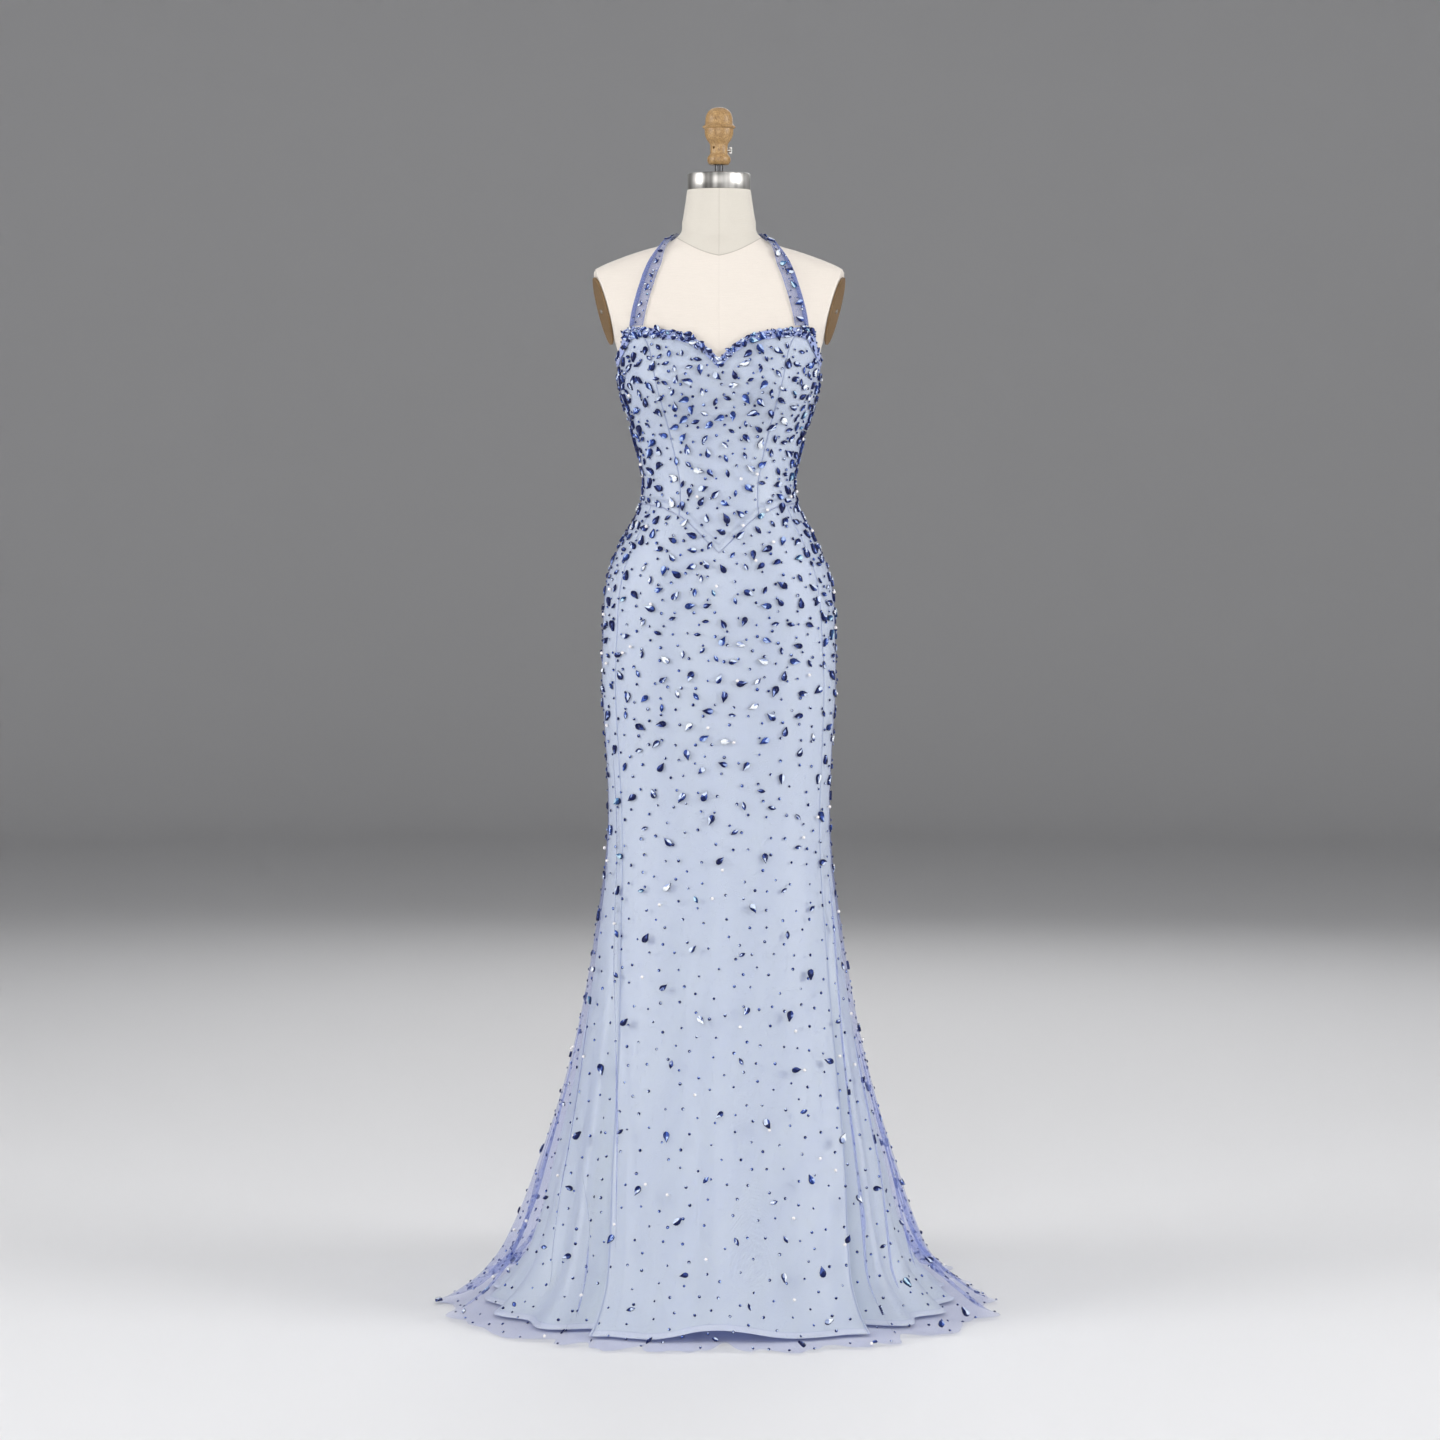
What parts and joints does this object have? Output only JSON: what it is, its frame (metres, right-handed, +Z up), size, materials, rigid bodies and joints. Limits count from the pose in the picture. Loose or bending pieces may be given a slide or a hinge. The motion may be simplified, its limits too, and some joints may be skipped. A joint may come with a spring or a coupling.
{
  "type": "sheath evening dress on a limbless dress form",
  "caption": "Long beaded sheath evening dress with a sweetheart neckline, halter strap and sheer tulle overlay, worn on a linen dress form with a wooden finial and a round base.",
  "frame": {"origin": "on the floor at the axis of the stand's pole and base", "axes": "+Z up; the dress's front faces -Y; the wearer's left is +X"},
  "size_m": [0.8312, 0.9383, 1.7723],
  "materials": {
    "satin": "ice blue satin",
    "tulle": "sheer periwinkle tulle",
    "crystal": "close-set sapphire stones",
    "linen": "cream linen over a moulded shell",
    "steel": "brushed",
    "dark_steel": "blackened steel",
    "wood": "turned, light varnish",
    "plate_board": "dark brown board",
    "base_enamel": "black enamel"
  },
  "bodies": {
    "dress_and_form": {"satin_bodice_front": "satin", "satin_bodice_side_left": "satin", "satin_bodice_side_right": "satin", "satin_bodice_back_left": "satin", "satin_bodice_back_right": "satin", "satin_skirt_front": "satin", "satin_skirt_side_left": "satin", "satin_skirt_side_right": "satin", "satin_skirt_back_left": "satin", "satin_skirt_back_right": "satin", "tulle_front": "tulle", "tulle_back_left": "tulle", "tulle_back_right": "tulle", "strap_left": "tulle", "strap_right": "tulle", "neckline_band": "crystal", "form_body": "linen", "form_neck": "linen", "form_cap": "steel", "zip_slider": "steel", "form_rod": "dark_steel", "stand_pole": "dark_steel", "arm_plate_left": "plate_board", "arm_plate_right": "plate_board", "stand_base": "base_enamel"},
    "finial": {"finial": "wood"},
    "thumbscrew": {"thumbscrew": "steel"},
    "zip_pull": {"zip_pull": "steel"}
  },
  "joints": [
    {"name": "finial_turn", "type": "hinge", "parent": "dress_and_form", "child": "finial", "pos_m": [0, 0, 1.7], "axis": [0, 0, 1], "continuous": true},
    {"name": "thumbscrew_turn", "type": "hinge", "parent": "finial", "child": "thumbscrew", "pos_m": [0.0166, 0, 1.7095], "axis": [1, 0, 0], "continuous": true},
    {"name": "zip_pull_swing", "type": "hinge", "parent": "dress_and_form", "child": "zip_pull", "pos_m": [0, 0.09505, 1.34339], "axis": [1, 0, 0], "range_deg": [-12, 150]}
  ]
}
